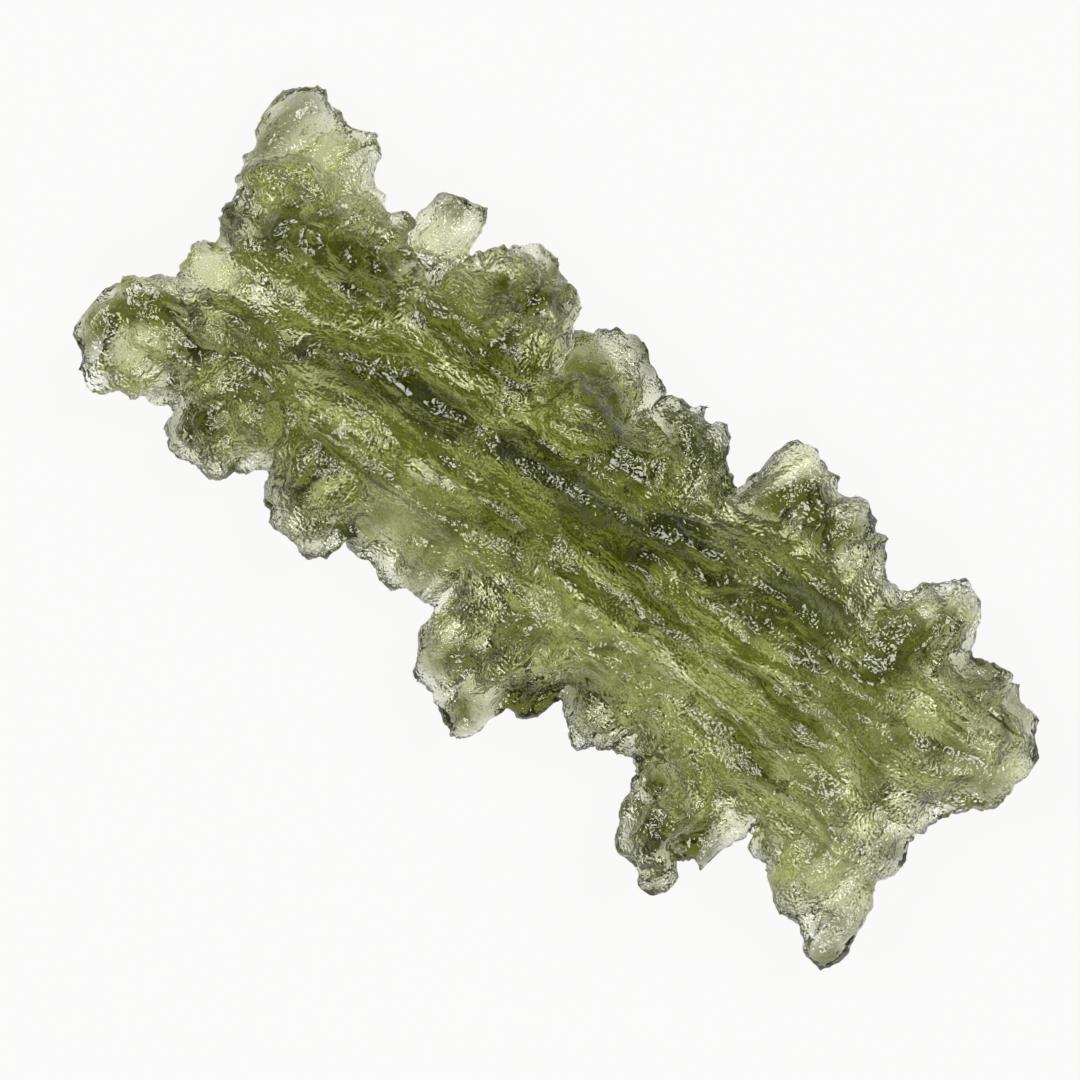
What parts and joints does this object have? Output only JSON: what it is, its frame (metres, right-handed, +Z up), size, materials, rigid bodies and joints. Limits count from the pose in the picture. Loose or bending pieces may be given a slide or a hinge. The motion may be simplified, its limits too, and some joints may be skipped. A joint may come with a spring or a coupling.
{
  "type": "moldavite",
  "caption": "Long, deeply etched piece of see-through green natural glass, with toothed blades along both sides and lengthwise ridges, lying on its underside.",
  "frame": {"origin": "on the surface that the stone lies on, below the middle of its bounding box", "axes": "+X along the stone's length, +Y across it towards the two-decked row of blades, +Z up from the surface"},
  "size_m": [0.0398, 0.0182, 0.0093],
  "materials": {
    "moldavite": "natural, etched and glossy, see-through olive green that pales where the glass is thin"
  },
  "bodies": {
    "root": {"moldavite": "moldavite"}
  },
  "joints": []
}
